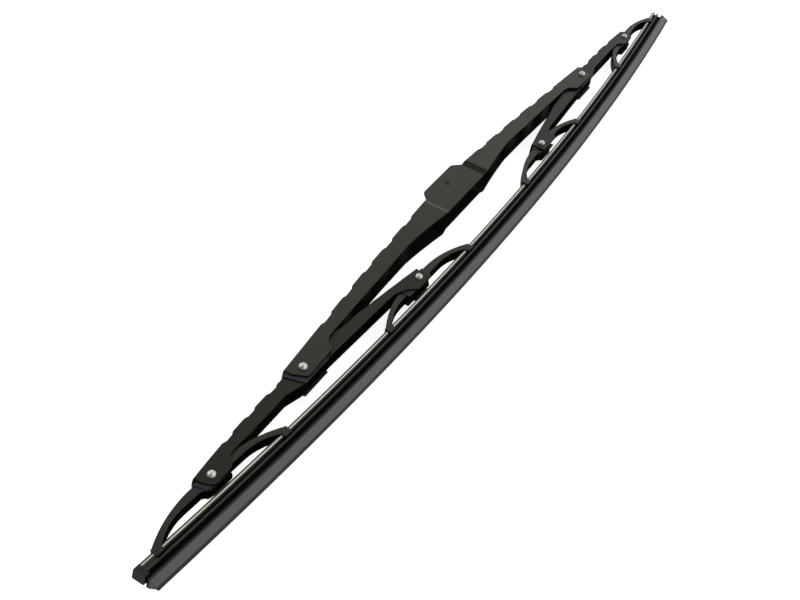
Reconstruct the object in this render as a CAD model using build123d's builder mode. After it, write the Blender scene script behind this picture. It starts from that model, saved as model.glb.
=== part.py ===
from build123d import *
from math import asin, atan2, cos, degrees, sin, sqrt
import os

# Wiper blade of pressed steel channels, lying on its side.
# X runs along the blade, Y from the wiping lip to the back of the bridge, and Z up, across the blade.
# The origin is the middle of the arm pin.

# Strip: the arc that the top of the rubber follows, with its ends towards the frame
strip_left_reach = 50.0
strip_right_reach = 51.8
strip_slant = 1.7
strip_skew = 1.5
rail_radius = 2650.0
rail_drop = 33.0

# Rubber section, from the top down
head_width = 4.6
head_cap = 0.7
head_core = 1.3
head_floor = 0.6
groove_height = 1.5
groove_core = 2.0
shoulder_height = 1.1
shoulder_width = 5.0
neck_height = 2.3
neck_width = 1.1
wedge_rim = 1.4
wedge_height = 3.3
wedge_width = 5.0
lip_height = 1.2
lip_width = 0.8
end_block_width = 5.2
end_block_depth = 6.0

# Splines in the slots of the rubber head
spline_thick = 0.8
spline_proud = 0.1
spline_slip = 0.05
spline_inset = 3.8
spline_overhang = 2.3

# Sheets, liners and gaps between the nested channels
bridge_sheet = 0.9
lever_sheet = 0.8
claw_sheet = 0.7
bridge_liner_wall = 0.6
claw_liner_wall = 0.35
face_gap = 0.08
strip_gap = 0.1

# Pivots
outer_claw_x = 226.4
inner_claw_x = 72.7
claw_rise = 6.9
lever_pivot_x = 157.8
lever_pivot_drop = 13.4
bridge_rivet_radius = 1.7
claw_rivet_radius = 1.4
tight_gap = 0.02
running_gap = 0.05

# Rivet heads: a collar and a dome above, flatter below
bridge_head_radius = 2.1
bridge_head_collar = 0.7
bridge_head_dome = 1.3
bridge_tail_height = 0.6
claw_head_radius = 1.9
claw_head_collar = 0.8
claw_head_dome = 1.0
claw_tail_height = 1.1
tail_bevel = 0.5

# Claw profile, from its pivot
claw_span = 75.0
claw_crown = 2.3
claw_flat = 9.0
claw_belly = 1.7
claw_belly_x = 8.0
claw_arm_x = 18.0
claw_ear_drop = 4.2
claw_ear_half = 5.0
jaw_length = 4.2
jaw_nose = 0.6
jaw_overlap = 0.6
hook_gap = 0.3
block_gap = 0.3

# Lever profile, from its own pivot and those of its claws
lever_middle = 4.2
lever_outer_bow = 1.35
lever_inner_bow = 1.1
lever_outer_rise = 5.0
lever_inner_rise = 4.2
lever_waist = 2.5
lever_belly = 5.0
lever_belly_half = 8.0
lever_waist_start = 17.0
lever_outer_reach = 3.0
lever_outer_lean = 2.4
lever_inner_reach = 4.3
lever_inner_lean = 0.2
lever_ear_drop = 4.2
lever_outer_ear = 9.0
lever_inner_ear = 7.5
lever_outer_ear_run = 6.0
lever_inner_ear_run = 14.0
lever_inner_depth = 4.9
lever_vents = 3
lever_vent_first = 18.0
lever_vent_pitch = 16.0
lever_vent_length = 4.0

# Bridge profile
box_half_length = 20.2
box_top = 6.9
box_top_half = 15.4
box_bottom = 12.6
box_corner = 3.0
box_half = 6.8
step_length = 3.6
bridge_root_half = 8.2
bridge_taper_x = 84.0
bridge_back = 2.2
bridge_shoulder_drop = 0.4
bridge_end_rise = 6.0
bridge_end_reach = 3.0
bridge_end_lean = 3.6
bridge_ear_drop = 5.3
bridge_heel_drop = 4.5
bridge_ear_heel = 17.4
bridge_ear_run = 8.0
bridge_ear_root = 1.4
bridge_root_bottom = 12.9
bridge_waist_x = 58.0
bridge_waist = 9.2
bridge_root_bow = 0.4
bridge_arm_bow = 0.2
bridge_root_vents = 2
bridge_end_vents = 3
bridge_vent_first = 43.0
bridge_vent_pitch = 20.8
bridge_vent_length = 6.0

# Shared details of the pressed channels
vent_slope = 2.4
vent_depth = 1.1
bend_radius = 0.7
ear_corner = 2.0
end_bulge = 2.0
end_trim = 0.1

# Liner saddles
liner_tongue = 3.1
bridge_liner_tail = 12.0
outer_liner_tail = 6.0
inner_liner_tail = 14.0
inner_liner_foot = 2.5
bridge_liner_skirt = 6.2
claw_liner_skirt = 3.6
liner_strap = 0.5
liner_strap_end = 1.0

# Arm pin
pin_radius = 2.4
pin_end_radius = 1.2
pin_end_recess = 0.15
pin_seat = 0.35

# Half widths of the nested channels, from the rubber outwards
claw_half = head_width / 2 + spline_proud + strip_gap + claw_sheet
lever_half = claw_half + claw_liner_wall + 2 * face_gap + lever_sheet
bridge_half = lever_half + bridge_liner_wall + 2 * face_gap + bridge_sheet

# Depths in the rubber section, from the top of the head
slot_height = spline_thick + 2 * spline_slip
slot_bottom = head_cap + slot_height
floor_bottom = slot_bottom + head_floor
groove_bottom = floor_bottom + groove_height
shoulder_bottom = groove_bottom + shoulder_height
neck_bottom = shoulder_bottom + neck_height
rim_bottom = neck_bottom + wedge_rim
wedge_bottom = rim_bottom + wedge_height
lip_bottom = wedge_bottom + lip_height

strip_left = outer_claw_x + strip_left_reach
strip_right = outer_claw_x + strip_right_reach
rail_centre = rail_radius - rail_drop
rail_axis = Axis((0, rail_centre, 0), (0, 0, 1))
far_below = 60.0
past_end = 20.0
spot_size = 0.001
back_edge_length = 25.0


def rail_angle(x):
    """Angle round the rail's centre at which the top of the rubber is at x."""
    return asin(x / rail_radius)


def strip_plane(x):
    """Plane across the strip at x: first axis down into the rubber, normal along the strip."""
    a = rail_angle(x)
    origin = (rail_radius * sin(a), rail_centre - rail_radius * cos(a), 0)
    return Plane(origin=origin, x_dir=(sin(a), -cos(a), 0), z_dir=(cos(a), sin(a), 0))


def strip_sweep(x_from, x_to):
    """Sweep the pending section along the rail from one x to the other."""
    revolve(axis=rail_axis, revolution_arc=degrees(rail_angle(x_to) - rail_angle(x_from)))


def claw_pivot(x):
    """Place of a claw's pivot, claw_rise above the top of the rubber."""
    reach = rail_radius - claw_rise
    return x, rail_centre - sqrt(reach**2 - x**2)


def claw_plane(side, x):
    """Side view plane of a claw at its pivot, with its first axis outwards along the rail."""
    px, py = claw_pivot(x)
    a = asin(px / (rail_radius - claw_rise))
    return Plane(origin=(side * px, py, 0), x_dir=(side * cos(a), sin(a), 0), z_dir=(0, 0, side))


def lever_plane(side):
    """Side view plane of a lever at its pivot, with its first axis outwards."""
    origin = (side * lever_pivot_x, -lever_pivot_drop, 0)
    return Plane(origin=origin, x_dir=(side, 0, 0), z_dir=(0, 0, side))


def local_claw(x):
    """Place of a claw's pivot in the lever's side view."""
    px, py = claw_pivot(x)
    return px - lever_pivot_x, py + lever_pivot_drop


def rail_sag(x):
    """How far the rail rises at a distance x from a tangent point."""
    return rail_radius - sqrt(rail_radius**2 - x**2)


def bowed_y(start, end, bow, x):
    """Height at x of a shallow arc from start to end that stands bow above its chord."""
    s = (x - start[0]) / (end[0] - start[0])
    return start[1] + s * (end[1] - start[1]) + 4 * bow * s * (1 - s)


def bowed_arc(start, end, bow):
    """Shallow arc from start to end, bow above the middle of its chord."""
    middle_x = (start[0] + end[0]) / 2
    ThreePointArc(start, (middle_x, bowed_y(start, end, bow, middle_x)), end)


def lowered(point, drop):
    """A point moved straight down by drop."""
    return point[0], point[1] - drop


def plan_of(plane):
    """Plan view plane that shares its origin and first axis with a side view plane."""
    return Plane(origin=plane.origin, x_dir=plane.x_dir, z_dir=-plane.y_dir)


def lever_plan(start, end, half):
    """Lines of the plan of a lever whose two ends bulge."""
    Line((start + end_bulge, half), (end - end_bulge, half))
    ThreePointArc((end - end_bulge, half), (end, 0), (end - end_bulge, -half))
    Line((end - end_bulge, -half), (start + end_bulge, -half))
    ThreePointArc((start + end_bulge, -half), (start, 0), (start + end_bulge, half))


def bridge_plan(inset, end):
    """Lines of the plan of the bridge: a box in the middle, then a step out to arms that taper."""
    box, root, arm = box_half - inset, bridge_root_half - inset, bridge_half - inset
    root_x = box_half_length + step_length
    for face in (-1, 1):
        Polyline(
            (0, face * box),
            (box_half_length, face * box),
            (root_x, face * root),
            (bridge_taper_x, face * arm),
            (end, face * arm),
        )
    ThreePointArc((end, arm), (end + end_bulge, 0), (end, -arm))
    mirror(about=Plane.YZ)


def corner_edges(builder, plane, points):
    """Edges across a block of a channel's side view, at the given points of that view."""
    spots = [plane.from_local_coords(Vector(x, y, 0)) for x, y in points]
    across = builder.edges().filter_by(Axis.Z)

    def at_spot(edge):
        return min((edge.center() - spot).length for spot in spots) < spot_size

    return across.filter_by(at_spot)


def back_edges(builder, half, lowest):
    """The long edges of a channel's back, above the given height and clear of the box."""
    sides = builder.edges().filter_by(lambda edge: abs(edge.center().Z) > half - spot_size)
    clear = sides.filter_by(lambda edge: abs(edge.center().X) > box_half_length + step_length)
    return clear.filter_by(lambda edge: edge.center().Y > lowest and edge.length > back_edge_length)


def vent_row(start, end, bow, first, pitch, count):
    """Place and slope of each vent along a bowed back."""
    row = []
    for n in range(count):
        x = first + n * pitch
        y = bowed_y(start, end, bow, x)
        rise = bowed_y(start, end, bow, x + pitch / 2) - bowed_y(start, end, bow, x - pitch / 2)
        row.append((x, y, atan2(rise, pitch)))
    return row


def vent_cut(places, length):
    """Sketch of the sloped-sided notches that vent the back of a channel: x, y and slope of each."""
    low, high = length / 2, length / 2 + 2 * vent_slope
    for x, y, slope in places:
        with Locations((x, y)):
            Polygon(
                (-low, -vent_depth), (low, -vent_depth), (high, vent_depth), (-high, vent_depth),
                rotation=degrees(slope), align=None,
            )


def keep(part, name):
    """Name a finished piece and write it out."""
    part.label = name
    export_step(part, f"parts/{name}.step")


def claw_lever(plane):
    """Arched channel across the strip, with a hooked jaw at each end."""
    tip = claw_span / 2 + jaw_length / 2
    root = claw_span / 2 - jaw_length / 2
    jaw_roof = rail_sag(tip) - claw_rise + strip_gap
    jaw_top = jaw_roof + claw_sheet
    hook_top = rail_sag(root) - claw_rise - floor_bottom - strip_gap
    hook_bottom = hook_top - claw_sheet
    hook_start = groove_core / 2 + hook_gap
    belly_end = -claw_rise - jaw_overlap
    nose = tip - jaw_nose
    roof_end = nose - claw_sheet
    clear = tip + past_end
    roof_crown = claw_crown - claw_sheet
    with BuildPart() as claw:
        with BuildSketch(plane):
            with BuildLine():
                Line((0, claw_crown), (claw_flat, claw_crown))
                TangentArc((claw_flat, claw_crown), (nose, jaw_top), tangent=(1, 0))
                Polyline(
                    (nose, jaw_top),
                    (tip, jaw_top),
                    (tip, hook_bottom),
                    (root, hook_bottom),
                    (root, belly_end),
                )
                TangentArc((claw_arm_x, -claw_belly), (root, belly_end), tangent=(1, 0))
                Polyline(
                    (claw_arm_x, -claw_belly),
                    (claw_belly_x, -claw_belly),
                    (claw_ear_half, -claw_ear_drop),
                    (0, -claw_ear_drop),
                )
                mirror(about=Plane.YZ)
            make_face()
        extrude(amount=claw_half, both=True)
        with BuildSketch(plane):
            with BuildLine():
                Line((0, roof_crown), (claw_flat, roof_crown))
                TangentArc((claw_flat, roof_crown), (roof_end, jaw_roof), tangent=(1, 0))
                Polyline((roof_end, jaw_roof), (clear, jaw_roof), (clear, -far_below), (0, -far_below))
                mirror(about=Plane.YZ)
            make_face()
        extrude(amount=claw_half - claw_sheet, both=True, mode=Mode.SUBTRACT)
        for start in (hook_start, -claw_half):
            with BuildSketch(plane.offset(start)):
                with Locations((-claw_span / 2, hook_bottom), (claw_span / 2, hook_bottom)):
                    Rectangle(jaw_length, claw_sheet, align=(Align.CENTER, Align.MIN))
            extrude(amount=claw_half - hook_start)
        with BuildSketch(plane):
            Circle(claw_rivet_radius + running_gap)
        extrude(amount=claw_half, both=True, mode=Mode.SUBTRACT)
    return claw.part


def lever_back():
    """Ends of the two arcs of a lever's back: above its pivot, at its outer end and at its inner end."""
    xo, yo = local_claw(outer_claw_x)
    xi, yi = local_claw(inner_claw_x)
    outer_end = xo + lever_outer_reach + lever_outer_lean + end_bulge
    inner_end = xi - lever_inner_reach - lever_inner_lean - end_bulge
    return (0, lever_middle), (outer_end, yo + lever_outer_rise), (inner_end, yi + lever_inner_rise)


def lever_arm(plane):
    """Channel between the bridge and two claws, vented on its outer half."""
    xo, yo = local_claw(outer_claw_x)
    xi, yi = local_claw(inner_claw_x)
    middle, outer_top, inner_top = lever_back()
    outer_end, inner_end = outer_top[0], inner_top[0]
    outer_foot = (xo + lever_outer_reach, yo - lever_ear_drop)
    inner_foot = (xi - lever_inner_reach, yi - lever_ear_drop)
    outer_heel = (xo - lever_outer_ear, yo - lever_ear_drop)
    inner_heel = (xi + lever_inner_ear, yi - lever_ear_drop)
    outer_waist = (outer_heel[0] - lever_outer_ear_run, -lever_waist)
    inner_waist_x = inner_heel[0] + lever_inner_ear_run
    inner_back = bowed_y(middle, inner_top, lever_inner_bow, inner_waist_x)
    inner_waist = (inner_waist_x, inner_back - lever_inner_depth)
    belly_in = (-lever_belly_half, -lever_belly)
    belly_out = (lever_belly_half, -lever_belly)
    waist_slope = (belly_in[1] - inner_waist[1]) / (belly_in[0] - inner_waist[0])
    corners = (outer_foot, outer_heel, inner_foot, inner_heel)
    vents = vent_row(middle, outer_top, lever_outer_bow, lever_vent_first, lever_vent_pitch, lever_vents)
    with BuildPart() as lever:
        with BuildSketch(plane):
            with BuildLine():
                bowed_arc(middle, outer_top, lever_outer_bow)
                bowed_arc(middle, inner_top, lever_inner_bow)
                Polyline(inner_top, inner_foot, inner_heel)
                TangentArc(inner_waist, inner_heel, tangent=(-1, -waist_slope))
                Polyline(inner_waist, belly_in, belly_out, (lever_waist_start, -lever_waist), outer_waist)
                TangentArc(outer_waist, outer_heel, tangent=(1, 0))
                Polyline(outer_heel, outer_foot, outer_top)
            make_face()
        extrude(amount=lever_half, both=True)
        fillet(corner_edges(lever, plane, corners), radius=ear_corner)
        with BuildSketch(plan_of(plane)):
            with BuildLine():
                lever_plan(inner_end + end_trim, outer_end - end_trim, lever_half)
            make_face()
        extrude(amount=far_below, both=True, mode=Mode.INTERSECT)
        fillet(back_edges(lever, lever_half, plane.origin.Y - lever_waist), radius=bend_radius)
        with BuildSketch(plane):
            with BuildLine():
                bowed_arc(lowered(middle, lever_sheet), lowered(outer_top, lever_sheet), lever_outer_bow)
                bowed_arc(lowered(middle, lever_sheet), lowered(inner_top, lever_sheet), lever_inner_bow)
                Polyline(
                    lowered(inner_top, lever_sheet),
                    (inner_end, -far_below),
                    (outer_end, -far_below),
                    lowered(outer_top, lever_sheet),
                )
            make_face()
        extrude(amount=lever_half - lever_sheet, both=True, mode=Mode.SUBTRACT)
        with BuildSketch(plane):
            vent_cut(vents, lever_vent_length)
        extrude(amount=bridge_half, both=True, mode=Mode.SUBTRACT)
        with BuildSketch(plane):
            Circle(bridge_rivet_radius + running_gap)
            with Locations((xo, yo), (xi, yi)):
                Circle(claw_rivet_radius + tight_gap)
        extrude(amount=lever_half, both=True, mode=Mode.SUBTRACT)
    return lever.part


def bridge_hollow(back, shoulder, end):
    """Space inside the bridge: open below and at the ends, and open above between the box cheeks."""
    with BuildPart() as hollow:
        with BuildSketch(Plane.XY):
            with BuildLine():
                Polyline(
                    (0, far_below),
                    (back[0], far_below),
                    lowered(back, bridge_sheet),
                    lowered(shoulder, bridge_sheet),
                    lowered(end, bridge_sheet),
                    (end[0], -far_below),
                    (0, -far_below),
                )
                mirror(about=Plane.YZ)
            make_face()
        extrude(amount=bridge_root_half, both=True)
        with BuildSketch(Plane.XZ):
            with BuildLine():
                bridge_plan(bridge_sheet, end[0])
            make_face()
        extrude(amount=2 * far_below, both=True, mode=Mode.INTERSECT)
    return hollow.part


def rivet(x, y, half, shank, head_radius, collar, dome, tail_height):
    """Rivet through a channel: domed head on a collar above, bevelled tail below."""
    plane = Plane(origin=(x, y, 0), x_dir=(1, 0, 0), z_dir=(0, -1, 0))
    shoulder = half + collar
    dome_radius = (head_radius**2 + dome**2) / (2 * dome)
    with BuildPart() as pin:
        with BuildSketch(plane):
            with BuildLine():
                Polyline(
                    (0, shoulder + dome),
                    (0, -half - tail_height),
                    (head_radius - tail_bevel, -half - tail_height),
                    (head_radius, -half),
                    (shank, -half),
                    (shank, half),
                    (head_radius, half),
                    (head_radius, shoulder),
                )
                RadiusArc((head_radius, shoulder), (0, shoulder + dome), -dome_radius)
            make_face()
        revolve(axis=Axis((x, y, 0), (0, 0, 1)))
    return pin.part


def liner_saddle(plane, half, wall, crown, skirt, ends, shank):
    """Plastic saddle on an inner channel: a cheek on each side and a strap across its back.

    ends gives where the cheeks end: x of the front at the skirt, of the front at the top, and of the tail.
    """
    front_foot, front_top, tail = ends
    roof = crown + face_gap
    top = roof + liner_strap
    strap_end = liner_strap_end if front_top > 0 else -liner_strap_end
    with BuildPart() as liner:
        with BuildSketch(plane):
            Polygon((tail, -skirt), (front_foot, -skirt), (front_top, top), (tail, top), align=None)
        extrude(amount=half + face_gap + wall, both=True)
        with BuildSketch(plane):
            Polygon(
                (tail, roof),
                (strap_end, roof),
                (strap_end, top),
                (front_top, top),
                (front_foot, -skirt),
                (tail, -skirt),
                align=None,
            )
        extrude(amount=half + face_gap, both=True, mode=Mode.SUBTRACT)
        with BuildSketch(plane):
            Circle(shank + running_gap)
        extrude(amount=bridge_half, both=True, mode=Mode.SUBTRACT)
    return liner.part


os.makedirs("parts", exist_ok=True)
spline_start = -strip_left + spline_inset
spline_end = strip_right + spline_overhang
claw_angle = asin(outer_claw_x / (rail_radius - claw_rise))
jaw_angle = asin((claw_span / 2 + jaw_length / 2 + block_gap) / rail_radius)
block_end = -rail_radius * sin(claw_angle + jaw_angle)

# Rubber blade
strip_start = -strip_left - strip_skew
left_end = strip_plane(-strip_left)
cut_face = Vector(-strip_slant / lip_bottom, strip_skew / end_block_width, 1)
cut_normal = left_end.from_local_coords(cut_face) - left_end.origin
with BuildPart() as rubber_blade:
    with BuildSketch(strip_plane(strip_start)):
        with BuildLine():
            Polyline(
                (0, 0),
                (0, head_width / 2),
                (head_cap, head_width / 2),
                (head_cap, head_core / 2),
                (slot_bottom, head_core / 2),
                (slot_bottom, head_width / 2),
                (floor_bottom, head_width / 2),
                (floor_bottom, groove_core / 2),
                (groove_bottom, groove_core / 2),
                (groove_bottom, shoulder_width / 2),
                (shoulder_bottom, shoulder_width / 2),
                (shoulder_bottom, neck_width / 2),
                (neck_bottom, neck_width / 2),
                (neck_bottom, wedge_width / 2),
                (rim_bottom, wedge_width / 2),
                (wedge_bottom, lip_width / 2),
                (lip_bottom, lip_width / 2),
                (lip_bottom, 0),
            )
            mirror(about=Plane.XZ)
        make_face()
    strip_sweep(strip_start, strip_right)
    with BuildSketch(strip_plane(strip_start)):
        with Locations((floor_bottom, 0)):
            Rectangle(groove_height, shoulder_width, align=(Align.MIN, Align.CENTER))
    strip_sweep(strip_start, block_end)
    with BuildSketch(strip_plane(strip_start)):
        Rectangle(end_block_depth, end_block_width, align=(Align.MIN, Align.CENTER))
    strip_sweep(strip_start, spline_start - spline_slip)
    split(bisect_by=Plane(origin=left_end.origin, z_dir=cut_normal), keep=Keep.TOP)
keep(rubber_blade.part, "rubber_blade")

# Splines, one in each slot of the rubber head
for face, name in ((-1, "upper_spline"), (1, "lower_spline")):
    inner_edge = head_core / 2 + spline_slip
    outer_edge = head_width / 2 + spline_proud
    with BuildPart() as spline:
        with BuildSketch(strip_plane(spline_start)):
            with Locations((head_cap + spline_slip, face * (inner_edge + outer_edge) / 2)):
                Rectangle(spline_thick, outer_edge - inner_edge, align=(Align.MIN, Align.CENTER))
        strip_sweep(spline_start, spline_end)
    keep(spline.part, name)

# Main bridge
back_start = (box_half_length + step_length / 2, bridge_back)
back_end_x = lever_pivot_x + bridge_end_reach + bridge_end_lean + end_bulge
back_end = (back_end_x, bridge_end_rise - lever_pivot_drop)
bridge_flange_end = back_end_x - end_bulge
ear_foot = (lever_pivot_x + bridge_end_reach, -lever_pivot_drop - bridge_ear_drop)
ear_heel = (lever_pivot_x - bridge_ear_heel, -lever_pivot_drop - bridge_heel_drop)
ear_root = (ear_heel[0] - bridge_ear_run, bridge_ear_root - lever_pivot_drop)
waist = (bridge_waist_x, -bridge_waist)
root_bottom = (box_half_length + step_length, -bridge_root_bottom)
back_shoulder = (bridge_taper_x, -bridge_shoulder_drop)
hollow = bridge_hollow(back_start, back_shoulder, back_end)
end_vent_first = bridge_vent_first + bridge_root_vents * bridge_vent_pitch
root_vents = vent_row(back_start, back_shoulder, 0, bridge_vent_first, bridge_vent_pitch, bridge_root_vents)
end_vents = vent_row(back_shoulder, back_end, 0, end_vent_first, bridge_vent_pitch, bridge_end_vents)
with BuildPart() as main_bridge:
    with BuildSketch(Plane.XY):
        with BuildLine():
            Polyline((0, box_top), (box_top_half, box_top), (box_half_length, bridge_back), back_start)
            Polyline(back_start, back_shoulder, back_end, ear_foot, ear_heel)
            TangentArc(ear_root, ear_heel, tangent=(1, 0))
            bowed_arc(ear_root, waist, bridge_arm_bow)
            bowed_arc(waist, root_bottom, bridge_root_bow)
            Polyline(root_bottom, (box_half_length, -box_bottom), (0, -box_bottom))
            mirror(about=Plane.YZ)
        make_face()
    extrude(amount=bridge_root_half, both=True)
    corners = (ear_foot, ear_heel, (-ear_foot[0], ear_foot[1]), (-ear_heel[0], ear_heel[1]))
    fillet(corner_edges(main_bridge, Plane.XY, corners), radius=ear_corner)
    box_corners = ((box_top_half, box_top), (-box_top_half, box_top))
    fillet(corner_edges(main_bridge, Plane.XY, box_corners), radius=box_corner)
    with BuildSketch(Plane.XZ):
        with BuildLine():
            bridge_plan(0, bridge_flange_end)
        make_face()
    extrude(amount=far_below, both=True, mode=Mode.INTERSECT)
    fillet(back_edges(main_bridge, bridge_half, -bridge_waist), radius=bend_radius)
    add(hollow, mode=Mode.SUBTRACT)
    for side in (-1, 1):
        with BuildSketch(Plane(origin=(0, 0, 0), x_dir=(side, 0, 0), z_dir=(0, 0, side))):
            vent_cut(root_vents + end_vents, bridge_vent_length)
        extrude(amount=bridge_root_half, both=True, mode=Mode.SUBTRACT)
    with BuildSketch(Plane.XY):
        Circle(pin_end_radius + tight_gap)
        with Locations((-lever_pivot_x, -lever_pivot_drop), (lever_pivot_x, -lever_pivot_drop)):
            Circle(bridge_rivet_radius + tight_gap)
    extrude(amount=bridge_root_half, both=True, mode=Mode.SUBTRACT)
    rims = main_bridge.edges().filter_by(GeomType.CIRCLE)
    pin_rims = rims.filter_by(lambda edge: edge.radius < bridge_rivet_radius)
    outer_rims = pin_rims.filter_by(lambda edge: abs(abs(edge.center().Z) - box_half) < spot_size)
    chamfer(outer_rims, length=pin_seat)
keep(main_bridge.part, "main_bridge")

# Arm pin across the box, its reduced ends set into the cheeks
with BuildPart() as arm_pin:
    with BuildSketch(Plane.XY):
        Circle(pin_radius)
    extrude(amount=box_half - bridge_sheet, both=True)
    with BuildSketch(Plane.XY):
        Circle(pin_end_radius)
    extrude(amount=box_half - pin_end_recess, both=True)
keep(arm_pin.part, "arm_pin")

# Levers, claws, liners and rivets, on the left and on the right
for side, hand in ((-1, "left"), (1, "right")):
    hinge = lever_plane(side)
    middle, outer_top, _ = lever_back()
    crown = bowed_y(middle, outer_top, lever_outer_bow, liner_strap_end)
    bridge_front = bridge_end_reach + liner_tongue
    bridge_ends = (bridge_front, bridge_front + bridge_end_lean, -bridge_liner_tail)
    keep(lever_arm(hinge), f"{hand}_lever")
    keep(
        liner_saddle(
            hinge, lever_half, bridge_liner_wall, crown, bridge_liner_skirt,
            bridge_ends, bridge_rivet_radius,
        ),
        f"{hand}_bridge_liner",
    )
    keep(
        rivet(
            side * lever_pivot_x, -lever_pivot_drop, bridge_half, bridge_rivet_radius,
            bridge_head_radius, bridge_head_collar, bridge_head_dome, bridge_tail_height,
        ),
        f"{hand}_bridge_rivet",
    )
    outer_foot = lever_outer_reach + liner_tongue
    inner_top = lever_inner_reach + lever_inner_lean + liner_tongue
    outer_ends = (outer_foot, outer_foot + lever_outer_lean, -outer_liner_tail)
    inner_ends = (-inner_liner_foot, -inner_top, inner_liner_tail)
    for x, place, liner_ends in ((outer_claw_x, "outer", outer_ends), (inner_claw_x, "inner", inner_ends)):
        px, py = claw_pivot(x)
        saddle = claw_plane(side, x)
        keep(claw_lever(saddle), f"{hand}_{place}_claw")
        keep(
            liner_saddle(
                saddle, claw_half, claw_liner_wall, claw_crown, claw_liner_skirt,
                liner_ends, claw_rivet_radius,
            ),
            f"{hand}_{place}_claw_liner",
        )
        keep(
            rivet(
                side * px, py, lever_half, claw_rivet_radius,
                claw_head_radius, claw_head_collar, claw_head_dome, claw_tail_height,
            ),
            f"{hand}_{place}_claw_rivet",
        )
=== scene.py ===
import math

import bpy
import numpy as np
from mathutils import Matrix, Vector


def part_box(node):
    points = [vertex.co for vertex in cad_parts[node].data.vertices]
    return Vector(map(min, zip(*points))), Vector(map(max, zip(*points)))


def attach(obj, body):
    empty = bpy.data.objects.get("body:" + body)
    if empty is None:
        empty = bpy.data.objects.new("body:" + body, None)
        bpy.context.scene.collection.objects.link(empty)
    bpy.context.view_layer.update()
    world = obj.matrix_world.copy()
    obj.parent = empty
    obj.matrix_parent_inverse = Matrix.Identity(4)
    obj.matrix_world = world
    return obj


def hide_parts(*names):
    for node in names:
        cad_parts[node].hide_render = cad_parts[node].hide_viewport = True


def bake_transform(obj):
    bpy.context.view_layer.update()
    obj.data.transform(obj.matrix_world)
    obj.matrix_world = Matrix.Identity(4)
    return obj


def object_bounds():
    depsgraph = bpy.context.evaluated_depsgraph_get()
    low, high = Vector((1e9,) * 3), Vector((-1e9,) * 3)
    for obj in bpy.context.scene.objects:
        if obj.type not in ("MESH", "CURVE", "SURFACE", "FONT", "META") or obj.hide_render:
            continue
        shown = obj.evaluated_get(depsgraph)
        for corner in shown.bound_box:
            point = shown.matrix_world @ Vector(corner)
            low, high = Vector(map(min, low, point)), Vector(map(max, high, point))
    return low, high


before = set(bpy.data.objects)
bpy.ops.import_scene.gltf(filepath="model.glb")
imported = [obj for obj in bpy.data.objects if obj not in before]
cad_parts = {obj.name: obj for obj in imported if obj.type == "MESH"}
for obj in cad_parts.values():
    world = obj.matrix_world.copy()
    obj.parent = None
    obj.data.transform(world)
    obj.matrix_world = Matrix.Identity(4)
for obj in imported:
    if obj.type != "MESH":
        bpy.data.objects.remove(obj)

# %% [markdown]
# # Wiper blade, lying on its side
# A pressed steel bridge carries two levers, and each lever carries two claws. The eight jaws of the
# claws hold one long rubber strip, so that the arm's push is shared out evenly along the glass. The
# steel pieces, liners and rivets come from the imported frame with their true shapes. This notebook
# gives them their finishes, and sweeps the rubber and its two spring steel splines again in runs
# along their arc.

MM = 0.001
cad_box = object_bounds()
print("CAD box in mm:", [[round(v / MM, 1) for v in corner] for corner in cad_box])

# %% [markdown]
# ## Writing finishes as sums
# A finish is a small network of nodes. Each output is wrapped in a Wire, which can be added,
# multiplied and so on like a number, so a finish reads as the formula that it is. Nodes could also
# be placed and linked one by one, but their sums would then be hard to follow.

# %% Wires


class Wire:
    """An output of a node that takes part in sums, with wires or plain numbers on either side."""

    def __init__(self, nodes, socket):
        self.nodes = nodes
        self.socket = socket

    def maths(self, operation, first, second):
        return self.nodes.node("Math", {"operation": operation}, {0: first, 1: second})

    def __add__(self, other):
        return self.maths("ADD", self, other)

    def __radd__(self, other):
        return self.maths("ADD", other, self)

    def __sub__(self, other):
        return self.maths("SUBTRACT", self, other)

    def __rsub__(self, other):
        return self.maths("SUBTRACT", other, self)

    def __mul__(self, other):
        return self.maths("MULTIPLY", self, other)

    def __rmul__(self, other):
        return self.maths("MULTIPLY", other, self)

    def __truediv__(self, other):
        return self.maths("DIVIDE", self, other)

    def __rtruediv__(self, other):
        return self.maths("DIVIDE", other, self)

    def spread(self, low, high):
        """From 0 at low to 1 at high, smooth and clamped."""
        settings = {"interpolation_type": "SMOOTHSTEP"}
        inputs = {"Value": self, "From Min": low, "From Max": high}
        return self.nodes.node("MapRange", settings, inputs)


# %% Node trees


class Nodes:
    """A node tree, with one way of making nodes."""

    def __init__(self, tree):
        self.tree = tree

    def put(self, socket, value):
        """Link a wire to a socket, or set the socket to a plain value."""
        if isinstance(value, Wire):
            self.tree.links.new(value.socket, socket)
        else:
            socket.default_value = value

    def node(self, kind, settings, inputs, out=0):
        """Make a node from its type, settings and inputs. Gives the wire of one of its outputs."""
        made = self.tree.nodes.new("ShaderNode" + kind)
        for name, value in settings.items():
            setattr(made, name, value)
        for key, value in inputs.items():
            self.put(made.inputs[key], value)
        return Wire(self, made.outputs[out])


# %% Finishes


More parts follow.
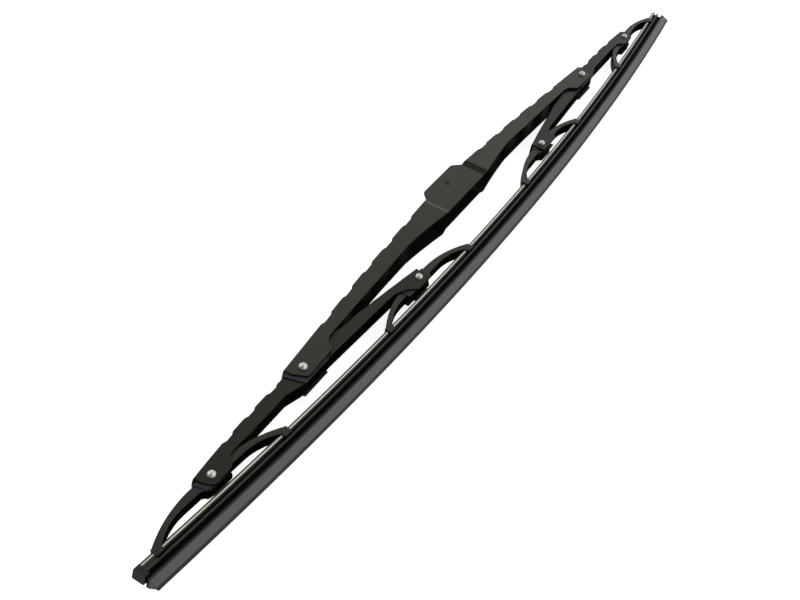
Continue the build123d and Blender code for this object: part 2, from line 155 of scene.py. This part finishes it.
class Finish(Nodes):
    """A procedural material on the Principled shader."""

    def __init__(self, name):
        self.material = bpy.data.materials.new(name)
        self.material.use_nodes = True
        super().__init__(self.material.node_tree)
        self.shader = self.tree.nodes["Principled BSDF"]

    def place(self):
        return self.node("TexCoord", {}, {}, "Object")

    def along(self):
        """A strip's own map: metres along it, and metres down into it."""
        return self.node("UVMap", {"uv_map": "strip"}, {})

    def stretched(self, where, scale):
        return self.node("Mapping", {}, {"Vector": where, "Scale": scale})

    def noise(self, where, scale, detail=2.0, roughness=0.5):
        inputs = {"Vector": where, "Scale": scale, "Detail": detail, "Roughness": roughness}
        return self.node("TexNoise", {}, inputs)

    def mixed(self, amount, low, high):
        """Colour between low and high."""
        return self.node("Mix", {"data_type": "RGBA"}, {0: amount, 6: low, 7: high}, 2)

    def bump(self, height, strength, depth):
        return self.node("Bump", {}, {"Strength": strength, "Distance": depth, "Height": height})

    def painted_shade(self, share, shade_colour):
        """Lay a dead matt colour over the shader by a share from 0 to 1: painted shade, as deep in
        a slot.
        """
        inputs = {"Base Color": shade_colour, "Roughness": 1.0, "Specular IOR Level": 0.0}
        matt = self.node("BsdfPrincipled", {}, inputs)
        glossy = Wire(self, self.shader.outputs[0])
        both = self.node("MixShader", {}, {0: share, 1: glossy, 2: matt})
        self.put(self.tree.nodes["Material Output"].inputs["Surface"], both)

    def wear(self, **inputs):
        """Set the shader's inputs by name, with _ for a space."""
        for name, value in inputs.items():
            self.put(self.shader.inputs[name.replace("_", " ")], value)
        return self.material


def colour(red, green, blue):
    return red, green, blue, 1.0


# %% [markdown]
# ## Coated steel
# The bridge, levers and claws are pressed from strip steel and dipped in a satin black
# electro-coat. It looks like a dark, slightly green grey: a thin paint that follows the metal, a
# little cloudy, with a very fine grain that breaks up its shine. Two sizes of noise give the clouds
# and the grain, and the grain also lifts the surface by a few thousandths of a millimetre. The
# levers went through another bath, and their coat is duller. Hardly any light gets into the
# channels, so their inner faces are given painted shade: the coat there is painted a dead matt
# black. Those faces are marked on the mesh itself: the ones that look across the channel at each
# other, and the roof between them. A picture of paint could be wrapped round the pieces instead,
# but noise has no seams and fits every piece.

# %% Coated steel finish
INSIDE = "inside_of_channel"
# Painted shade inside the channels: how much of it, and its dead matt black.
CHANNEL_SHADE_SHARE = 0.7
CHANNEL_SHADE_BLACK = colour(0.004, 0.004, 0.004)
FACING = 0.6
SHEET = 0.95 * MM
COAT_CLOUD = 70.0
COAT_GRAIN = 2200.0
GRAIN_DEPTH = 0.04 * MM
COAT_TONES = colour(0.0070, 0.0073, 0.0053), colour(0.0120, 0.0125, 0.0092)
COAT_TINT = colour(1.0, 1.0, 0.84)
BRIDGE_SHINE, LEVER_SHINE = 0.46, 0.30


def mark_inside(piece):
    """Mark a channel's inner faces, which are given painted shade.

    Either they look towards z = 0 from their own height z, or they lie between the flanges and
    look towards the lip.
    """
    mesh = piece.data
    normal = np.empty((len(mesh.polygons), 3), np.float32)
    centre = np.empty((len(mesh.polygons), 3), np.float32)
    mesh.polygons.foreach_get("normal", normal.ravel())
    mesh.polygons.foreach_get("center", centre.ravel())
    height = np.abs(centre[:, 2])
    across = normal[:, 2] * np.sign(centre[:, 2]) < -FACING
    roof = (normal[:, 1] < -FACING) & (height < height.max() - SHEET)
    mark = mesh.attributes.new(INSIDE, "FLOAT", "FACE")
    mark.data.foreach_set("value", (across | roof).astype(np.float32))


def coated_steel(name, shine):
    """Satin coat: clouds and grain set its tone and roughness, and inside a channel it has painted
    shade, a matt black.
    """
    finish = Finish(name)
    place = finish.place()
    cloud = finish.noise(place, COAT_CLOUD, 4.0, 0.6)
    grain = finish.noise(place, COAT_GRAIN, 3.0, 0.6)
    tone = (0.55 * cloud + 0.45 * grain).spread(0.3, 0.7)
    inside = finish.node("Attribute", {"attribute_name": INSIDE}, {}, "Fac")
    # Painted shade: a dead matt black over the channel's inner faces.
    finish.painted_shade(CHANNEL_SHADE_SHARE * inside, CHANNEL_SHADE_BLACK)
    return finish.wear(
        Base_Color=finish.mixed(tone, *COAT_TONES),
        Roughness=0.22 + 0.14 * grain + 0.08 * cloud,
        Specular_IOR_Level=shine,
        Specular_Tint=COAT_TINT,
        Normal=finish.bump(grain, 0.25, GRAIN_DEPTH),
    )


steel = coated_steel("satin_coated_steel", BRIDGE_SHINE)
lever_steel = coated_steel("dull_coated_steel", LEVER_SHINE)
print("finishes:", steel.name, "and", lever_steel.name)

# %% [markdown]
# ## Liner plastic
# Where one channel turns in another, a moulded saddle keeps steel off steel. It is a hard bluish
# black plastic with the fine sparked texture of its mould. The texture is far too fine to carve
# into the mesh, so a bump from noise stands for it.

# %% Liner finish
LINER_SPARK = 3500.0
LINER_CLOUD = 260.0
SPARK_DEPTH = 0.04 * MM
LINER_TONES = colour(0.010, 0.009, 0.015), colour(0.018, 0.016, 0.026)


def liner_plastic():
    finish = Finish("moulded_liner_plastic")
    place = finish.place()
    spark = finish.noise(place, LINER_SPARK, 3.0, 0.7)
    cloud = finish.noise(place, LINER_CLOUD)
    return finish.wear(
        Base_Color=finish.mixed(cloud, *LINER_TONES),
        Roughness=0.5 + 0.2 * spark,
        Normal=finish.bump(spark, 0.35, SPARK_DEPTH),
    )


liner = liner_plastic()
print("finish:", liner.name)

# %% [markdown]
# ## Rivets and the arm pin
# A rivet is cold headed from bright wire: its dome keeps fine turning rings from the tool, and
# towards its rim, where it meets the coat, it turns darker and duller in patches. The rings are
# noise that depends only on the distance from the rivet's axis, so each rivet has a material of its
# own that knows its centre. The arm pin is duller, with its ends set into the cheeks.

# %% Rivet and pin finishes
RING_SCALE = 9000.0
RING_DEPTH = 0.03 * MM
# Darker, duller patches towards a rivet's rim: their size, and where they start and end.
RIM_DARK_SCALE = 900.0
RIM_DARK_START, RIM_DARK_END = 0.7, 1.05
RIVET_TONES = colour(0.42, 0.40, 0.37), colour(0.88, 0.84, 0.79)
RIVET_ROUGH = 0.46
PIN_TONES = colour(0.010, 0.010, 0.009), colour(0.040, 0.039, 0.036)
PIN_ROUGH = 0.4


def turned_steel(name, centre, rim, tones, rough):
    """Bare steel with rings round a centre: the ring tone is 1-D noise of the distance from it."""
    dark, light = tones
    finish = Finish(name)
    place = finish.place()
    axis = centre[0], centre[1], 0.0
    flat = finish.node("VectorMath", {"operation": "MULTIPLY"}, {0: place, 1: (1.0, 1.0, 0.0)})
    reach = finish.node("VectorMath", {"operation": "DISTANCE"}, {0: flat, 1: axis}, "Value")
    rings = {"W": reach, "Scale": RING_SCALE, "Detail": 2.0}
    ring = finish.node("TexNoise", {"noise_dimensions": "1D"}, rings)
    rim_dark = finish.noise(place, RIM_DARK_SCALE, 3.0) * reach.spread(RIM_DARK_START * rim, RIM_DARK_END * rim)
    return finish.wear(
        Base_Color=finish.mixed(0.6 * (1.0 - ring) + 0.9 * rim_dark, light, dark),
        Metallic=1.0 - 0.5 * rim_dark,
        Roughness=rough + 0.12 * ring + 0.3 * rim_dark,
        Normal=finish.bump(ring, 0.15, RING_DEPTH),
    )


def middle_of(node):
    """Centre of a node's box, and half its length."""
    low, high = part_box(node)
    return [(a + b) / 2 for a, b in zip(low, high)], (high[0] - low[0]) / 2


rivets = {}
for node in sorted(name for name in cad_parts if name.endswith("_rivet")):
    centre, rim = middle_of(node)
    rivets[node] = turned_steel(f"bright_{node}", centre, rim, RIVET_TONES, RIVET_ROUGH)
pin_steel = turned_steel("dull_pin_steel", *middle_of("arm_pin"), PIN_TONES, PIN_ROUGH)
print("finishes:", len(rivets), "rivets and", pin_steel.name)

# %% [markdown]
# ## Spring steel
# The two splines are rolled spring steel strips, slid into slots in the head of the rubber. Rolling
# leaves fine lines along them, so the noise is drawn out some two hundred times along the strip. It
# reads the strip's own map and not the object's coordinates, so that the lines follow the arc.

# %% Spline finish
ROLLED_LINES = (40.0, 9000.0, 1.0)
ROLLED_DEPTH = 0.02 * MM
SPLINE_CLOUD = 45.0
SPLINE_TONES = colour(0.54, 0.49, 0.42), colour(0.78, 0.72, 0.63)


def rolled_steel():
    finish = Finish("rolled_spring_steel")
    strip = finish.along()
    line = finish.noise(finish.stretched(strip, ROLLED_LINES), 1.0, 3.0)
    cloud = finish.noise(strip, SPLINE_CLOUD, 3.0)
    tone = (0.6 * line + 0.4 * cloud).spread(0.3, 0.7)
    return finish.wear(
        Base_Color=finish.mixed(tone, *SPLINE_TONES),
        Metallic=1.0,
        Roughness=0.24 + 0.16 * line,
        Normal=finish.bump(line, 0.15, ROLLED_DEPTH),
    )


spline_steel = rolled_steel()
print("finish:", spline_steel.name)

# %% [markdown]
# ## Rubber
# The strip is extruded natural rubber. Its head and groove are black, its wedge has a pale bloom
# from the graphite that helps it slide, and the cut lip is clean and dark again. The bloom is a
# band between two depths of the strip, and faint lines run along it from the die. The groove and
# the neck are so narrow that hardly any light comes back out of them, so there the rubber is given
# painted shade: a dead matt black that fades out below the neck. The graphite also gives the wedge
# a second, harder sheen, which is the shader's coat. The moulded end has no grooves. Each band
# could be a mesh with a plain colour, but bands by depth keep the strip in one piece and have soft
# edges.

# %% Strip sizes, in millimetres
RAIL_RADIUS = 2650.0
RAIL_CENTRE = 2617.0
HEAD = 2.3
CAP = 0.7
CORE = 0.65
SLOT = 1.6
FLOOR = 2.2
GROOVE_CORE = 1.0
GROOVE = 3.7
SHOULDER = 2.5
SHOULDER_FOOT = 4.8
NECK = 0.55
NECK_FOOT = 7.1
WEDGE = 2.5
RIM = 8.5
WEDGE_FOOT = 11.8
LIP = 0.4
LIP_FOOT = 13.0
SOFT = 0.15
print("strip depth:", LIP_FOOT, "mm")

# %% Rubber finish
DIE_LINES = (25.0, 5000.0, 1.0)
DIE_DEPTH = 0.04 * MM
RUBBER_CLOUD = 60.0
RUBBER_TONES = colour(0.010, 0.010, 0.0085), colour(0.020, 0.020, 0.0175)
BLOOM_TONE = colour(0.068, 0.069, 0.064)
BLOOM_SHEEN = 0.6
# Painted shade in the groove and the neck: how much of it, and its dead matt black.
GROOVE_SHADE_SHARE = 0.92
GROOVE_SHADE_BLACK = colour(0.003, 0.003, 0.0025)
STRIP_SHINE, END_SHINE = 0.5, 0.3


def band(depth, top, foot, fade=SOFT):
    """1 between two depths and 0 outside them. The foot fades over a depth of its own."""
    return depth.spread(top - SOFT, top + SOFT) * (1.0 - depth.spread(foot - SOFT, foot + fade))


def rubber_finish(name, shine, grooved):
    """Rubber with bloom on the wedge, and painted shade, a matt black, in the grooves where it is
    grooved.
    """
    finish = Finish(name)
    strip = finish.along()
    depth = finish.node("SeparateXYZ", {}, {"Vector": strip}, "Y") / MM
    line = finish.noise(finish.stretched(strip, DIE_LINES), 1.0, 3.0)
    cloud = finish.noise(strip, RUBBER_CLOUD, 4.0, 0.6)
    bloom = band(depth, RIM, WEDGE_FOOT) * (0.75 + 0.5 * cloud)
    tone = (0.5 * line + 0.5 * cloud).spread(0.3, 0.7)
    black = finish.mixed(tone, *RUBBER_TONES)
    if grooved:
        # Painted shade: a dead matt black in the groove and the neck, fading out below the neck.
        neck = band(depth, SHOULDER_FOOT, NECK_FOOT, RIM - NECK_FOOT)
        finish.painted_shade(GROOVE_SHADE_SHARE * (band(depth, FLOOR + SOFT, GROOVE) + neck), GROOVE_SHADE_BLACK)
    return finish.wear(
        Base_Color=finish.mixed(bloom, black, BLOOM_TONE),
        Roughness=0.34 + 0.14 * line + 0.12 * bloom,
        Specular_IOR_Level=shine,
        Coat_Weight=BLOOM_SHEEN * bloom,
        Coat_Roughness=0.35,
        Normal=finish.bump(line, 0.2, DIE_DEPTH),
    )


rubber = rubber_finish("extruded_rubber", STRIP_SHINE, grooved=True)
end_rubber = rubber_finish("moulded_rubber", END_SHINE, grooved=False)
print("finishes:", rubber.name, "and", end_rubber.name)

# %% [markdown]
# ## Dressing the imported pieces
# The pressed and moulded pieces already have their true shapes in the frame, so nothing is modelled
# again: each one's material is chosen by its name. The three nodes of the strip are dressed as
# well, but they are replaced further on.

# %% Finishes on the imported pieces


def finish_of(node):
    if node in rivets:
        return rivets[node]
    if node == "arm_pin":
        return pin_steel
    if node.endswith("_liner"):
        return liner
    return lever_steel if node.endswith("_lever") else steel


for node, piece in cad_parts.items():
    finish = finish_of(node)
    piece.data.materials.clear()
    piece.data.materials.append(finish)
    if finish in (steel, lever_steel):
        mark_inside(piece)
print("dressed", len(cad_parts), "packed pieces")

# %% [markdown]
# ## The strip
# The real strip is one extrusion: a section pulled along an arc, whose ends stand nearer to the
# frame than its middle does. The section is drawn as a chain of corners, each rounded a little as a
# die rounds them, and swept round the arc's centre. When the levers rock, the real strip bends with
# them. Here it is swept in four runs, split at the levers' pivots: each outer run reaches from its
# end to the pivot, and each inner run from the pivot to the middle. The two inner runs meet in the
# middle, where a short and slightly thinner tongue inside them closes the gap of a millimetre that
# opens between them when the inner ends of the levers rock away from the bridge.

# %% Outlines


def rounded(corners, radii, steps=4):
    """Closed outline with soft corners.

    Each corner C becomes a parabola from A, a radius before it, to B, a radius after it:
    the point at t is (1-t)(1-t) A + 2 t (1-t) C + t t B.
    """
    corner = np.array(corners, float)
    before = np.roll(corner, 1, 0) - corner
    after = np.roll(corner, -1, 0) - corner
    radius = np.array(radii, float)[:, None]
    a = corner + radius * before / np.linalg.norm(before, axis=1, keepdims=True)
    b = corner + radius * after / np.linalg.norm(after, axis=1, keepdims=True)
    t = np.linspace(0.0, 1.0, steps)[None, :, None]
    curve = (1 - t) ** 2 * a[:, None] + 2 * t * (1 - t) * corner[:, None] + t**2 * b[:, None]
    return curve.reshape(-1, 2)


def both_faces(half):
    """A half section's corners and radii, then the same on the other face in the opposite order."""
    corners = [(d, z) for d, z, r in half] + [(d, -z) for d, z, r in reversed(half)]
    radii = [r for d, z, r in half] + [r for d, z, r in reversed(half)]
    return rounded(corners, radii)


# %% Sweeping
SHARP = math.radians(40)


def swept(name, outline, start, end, count, finish):
    """Closed strip of an outline (depth, across) along the rail from x = start to x = end.

    start may differ from point to point of the outline. A point at depth d, at angle a round the
    rail's centre, is at x = (R + d) sin a, y = centre - (R + d) cos a, and a runs evenly from start
    to end. The faces are wound the other way where the run goes towards +x, so that they always
    point outwards.
    """
    depth, across = outline.T
    first = np.arcsin(np.broadcast_to(start, depth.shape) / RAIL_RADIUS)
    last = np.arcsin(np.broadcast_to(end, depth.shape) / RAIL_RADIUS)
    share = np.linspace(0.0, 1.0, count)[:, None]
    angle = first + share * (last - first)
    reach = RAIL_RADIUS + depth
    x, y = reach * np.sin(angle), RAIL_CENTRE - reach * np.cos(angle)
    points = np.stack([x, y, np.broadcast_to(across, angle.shape)], -1)
    around = len(depth)
    index = np.arange(count * around).reshape(count, around)
    near, far = index[:-1], index[1:]
    quads = np.stack([near, far, np.roll(far, -1, 1), np.roll(near, -1, 1)], -1).reshape(-1, 4)
    turn = 1 if np.mean(last) < np.mean(first) else -1
    faces = quads[:, ::turn].tolist() + [index[0][::turn].tolist(), index[-1][::-turn].tolist()]
    mesh = bpy.data.meshes.new(name)
    mesh.from_pydata((points.reshape(-1, 3) * MM).tolist(), [], faces)
    corner = np.empty(len(mesh.loops), np.int32)
    mesh.loops.foreach_get("vertex_index", corner)
    chart = np.stack([RAIL_RADIUS * angle, np.broadcast_to(depth, angle.shape)], -1) * MM
    layer = mesh.uv_layers.new(name="strip")
    layer.data.foreach_set("uv", chart.reshape(-1, 2)[corner].astype(np.float32).ravel())
    mesh.shade_smooth()
    mesh.set_sharp_from_angle(angle=SHARP)
    mesh.materials.append(finish)
    piece = bpy.data.objects.new(name, mesh)
    bpy.context.scene.collection.objects.link(piece)
    return piece


# %% Rubber section: depth, half width and corner radius of each corner
rubber_section = both_faces([
    (0.0, HEAD, 0.25),
    (CAP, HEAD, 0.12),
    (CAP, CORE, 0.1),
    (SLOT, CORE, 0.1),
    (SLOT, HEAD, 0.1),
    (FLOOR, HEAD, 0.15),
    (FLOOR, GROOVE_CORE, 0.2),
    (GROOVE, GROOVE_CORE, 0.3),
    (GROOVE, SHOULDER, 0.35),
    (SHOULDER_FOOT, SHOULDER, 0.35),
    (SHOULDER_FOOT, NECK, 0.4),
    (NECK_FOOT, NECK, 0.4),
    (NECK_FOOT, WEDGE, 0.25),
    (RIM, WEDGE, 0.3),
    (WEDGE_FOOT, LIP, 0.5),
    (LIP_FOOT, LIP, 0.08),
])
print("rubber section:", len(rubber_section), "points")

# %% Spline sections
SPLINE_TOP, SPLINE_FOOT = 0.75, 1.55
SPLINE_IN, SPLINE_OUT = 0.7, 2.4
SPLINE_EDGE = 0.2


def spline_section(face):
    """Flat strip with rolled edges, on one face of the head."""
    inner, outer = face * SPLINE_IN, face * SPLINE_OUT
    top = [(SPLINE_TOP, inner), (SPLINE_TOP, outer)]
    corners = top + [(SPLINE_FOOT, outer), (SPLINE_FOOT, inner)]
    return rounded(corners[::face], [SPLINE_EDGE] * len(corners))


spline_sections = {"upper_spline": spline_section(-1), "lower_spline": spline_section(1)}
print("spline sections:", ", ".join(spline_sections))

# %% Ends and turning points
STRIP_LEFT, STRIP_RIGHT = 276.4, 278.2
CUT_SLANT, CUT_SKEW = 0.13, 0.29
SPLINE_LEFT, SPLINE_RIGHT = 272.6, 280.5


def cut_end(section):
    """Where the left end is cut: further in by a slope down the depth and a slope across."""
    return -STRIP_LEFT + CUT_SLANT * section[:, 0] + CUT_SKEW * section[:, 1]


rubber_ends = {"left": cut_end(rubber_section), "right": STRIP_RIGHT}
spline_ends = {"left": -SPLINE_LEFT, "right": SPLINE_RIGHT}
print("rubber from", -STRIP_LEFT, "to", STRIP_RIGHT, "mm")

# %% Strip runs
LEVER_X = 157.8
RUN_STEPS = 140
END_STEPS = 12
TONGUE_REACH = 1.6
TONGUE_PLAY = 0.05


def inset(outline, play):
    """Outline moved inwards: each point steps square to the line between its two neighbours."""
    run = np.roll(outline, -1, 0) - np.roll(outline, 1, 0)
    run /= np.linalg.norm(run, axis=1, keepdims=True)
    return outline + play * run[:, ::-1] * (1.0, -1.0)


def bending_run(node, section, finish, ends):
    """Sweep a node of the strip as four runs, split at the levers' pivots, and a tongue."""
    for side, hand in ((-1, "left"), (1, "right")):
        turn_x = side * LEVER_X
        outer = swept(f"{node}_{hand}_outer", section, ends[hand], turn_x, RUN_STEPS, finish)
        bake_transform(outer)
        inner = swept(f"{node}_{hand}_inner", section, turn_x, 0.0, RUN_STEPS, finish)
        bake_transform(inner)
        for piece in (outer, inner):
            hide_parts(node)
    thinner = inset(section, TONGUE_PLAY)
    tongue = swept(f"{node}_tongue", thinner, -TONGUE_REACH, TONGUE_REACH, END_STEPS, finish)
    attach(tongue, "left_inner_claw")


bending_run("rubber_blade", rubber_section, rubber, rubber_ends)
for node, section in spline_sections.items():
    bending_run(node, section, spline_steel, spline_ends)

# %% [markdown]
# ## The closed end
# At one end the rubber is moulded shut: a block fills the spline slots, so that the splines can't
# slide out that way, and a plug fills the groove as far as the last jaw, which keeps the rubber
# from creeping along. Both could be plain blocks, but swept like the strip they share its arc and
# its slanted cut.

# %% End block and groove plug
PROUD = 0.05
BLOCK_HALF = 2.6
BLOCK_FOOT = 6.0
BLOCK_END = 272.75
PLUG_END = 266.6
PLUG_HALF = SHOULDER - 0.05
PLUG_TOP, PLUG_FOOT = FLOOR - 0.1, GROOVE + 0.4
closed_end = {
    "end_block": ([(0.0, BLOCK_HALF, 0.4), (BLOCK_FOOT, BLOCK_HALF, 0.3)], BLOCK_END),
    "groove_plug": ([(PLUG_TOP, PLUG_HALF, 0.2), (PLUG_FOOT, PLUG_HALF, 0.1)], PLUG_END),
}
for name, (half, end) in closed_end.items():
    section = both_faces(half)
    piece = swept(name, section, cut_end(section) - PROUD, -end, END_STEPS, end_rubber)
    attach(piece, "left_outer_claw")
print("closed end: block to", -BLOCK_END, "and plug to", -PLUG_END)

# %% [markdown]
# ## Floor, light and camera
# The blade lies on a pale floor. A room that is white all round would wash out the black coat. This
# one is white beyond the blade's free end, has a window on the side of the lip and is dim
# elsewhere, so the coat mostly shows the white side and the wedge of the rubber the window. One
# soft light stands behind. The camera stands where the photographer stood, looking down along the
# blade.

# %% Floor
FLOOR_HALF = 3.0
PAPER_FIBRE = 60.0
PAPER_TONES = colour(0.84, 0.84, 0.84), colour(0.88, 0.88, 0.88)
PAPER_GLOW = colour(0.0, 0.0, 0.0), colour(0.84, 0.84, 0.84)
floor_mesh = bpy.data.meshes.new("pale_floor")
floor_z = cad_box[0][2]
corner_signs = (-1, -1), (1, -1), (1, 1), (-1, 1)
floor_corners = [(x * FLOOR_HALF, y * FLOOR_HALF, floor_z) for x, y in corner_signs]
floor_mesh.from_pydata(floor_corners, [], [(0, 1, 2, 3)])
floor = bpy.data.objects.new("pale_floor", floor_mesh)
bpy.context.scene.collection.objects.link(floor)
paper = Finish("pale_paper")
fibre = paper.noise(paper.place(), PAPER_FIBRE, 3.0)
seen_directly = paper.node("LightPath", {}, {}, "Is Camera Ray")
floor_mesh.materials.append(paper.wear(
    Base_Color=paper.mixed(fibre, *PAPER_TONES),
    Roughness=0.8 + 0.1 * fibre,
    Specular_IOR_Level=0.1,
    Emission_Color=paper.mixed(seen_directly, *PAPER_GLOW),
    Emission_Strength=1.0,
))
print("floor at", round(floor_z / MM, 1), "mm")

# %% Room
ROOM_WHITE = 0.9
ROOM_DIM = 0.06
WINDOW = 1.1
WHITE_START, WHITE_FULL = 0.1, 0.34
WINDOW_START, WINDOW_FULL = 0.48, 0.75
scene = bpy.context.scene
scene.view_settings.view_transform = "Standard"
scene.world = bpy.data.worlds.new("white_room")
scene.world.use_nodes = True
room = Nodes(scene.world.node_tree)
seen = room.node("LightPath", {}, {}, "Is Camera Ray")
way = room.node("TexCoord", {}, {}, "Generated")
along_blade = room.node("SeparateXYZ", {}, {"Vector": way}, "X")
past_lip = -1.0 * room.node("SeparateXYZ", {}, {"Vector": way}, "Y")
white_side = (ROOM_WHITE - ROOM_DIM) * along_blade.spread(WHITE_START, WHITE_FULL)
window_side = WINDOW * past_lip.spread(WINDOW_START, WINDOW_FULL)
glow = ROOM_DIM + white_side + window_side
background = scene.world.node_tree.nodes["Background"]
room.put(background.inputs["Color"], colour(1.0, 1.0, 1.0))
room.put(background.inputs["Strength"], glow * (1.0 - seen) + seen)
print("world:", scene.world.name)

# %% Soft light
BACK_LIGHT = (-0.5, 1.4, 1.0)
BACK_SIZE, BACK_WATTS = 1.0, 10.0


def softbox(name, place, size, watts):
    """Square soft light that faces the middle of the blade."""
    data = bpy.data.lights.new(name, "AREA")
    data.size = size
    data.energy = watts
    light = bpy.data.objects.new(name, data)
    light.location = place
    light.rotation_euler = (-Vector(place)).to_track_quat("-Z", "Y").to_euler()
    scene.collection.objects.link(light)
    return light


back_light = softbox("back_softbox", BACK_LIGHT, BACK_SIZE, BACK_WATTS)
print("light:", back_light.name, "of", BACK_WATTS, "W")

# %% Camera
FRAME_WIDTH = 800
SENSOR = 36.0
FOCAL_PIXELS = 948.69
AZIMUTH, PITCH, ROLL = (math.radians(v) for v in (-63.898, 46.088, 8.241))
STAND = (-389.58, -171.46, 348.00)
NEAREST = 0.01
ahead = math.cos(PITCH)
forward = Vector((-math.sin(AZIMUTH) * ahead, math.cos(AZIMUTH) * ahead, -math.sin(PITCH)))
level = Vector((math.cos(AZIMUTH), math.sin(AZIMUTH), 0.0))
upright = level.cross(forward)
right = math.cos(ROLL) * level + math.sin(ROLL) * upright
up = math.cos(ROLL) * upright - math.sin(ROLL) * level
camera_data = bpy.data.cameras.new("camera")
camera_data.sensor_width = SENSOR
camera_data.lens = FOCAL_PIXELS / FRAME_WIDTH * SENSOR
camera_data.clip_start = NEAREST
camera = bpy.data.objects.new("camera", camera_data)
stand = Matrix((right, up, -forward)).transposed().to_4x4()
stand.translation = Vector(STAND) * MM
camera.matrix_world = stand
scene.collection.objects.link(camera)
scene.camera = camera
print("camera lens:", round(camera_data.lens, 1), "mm")
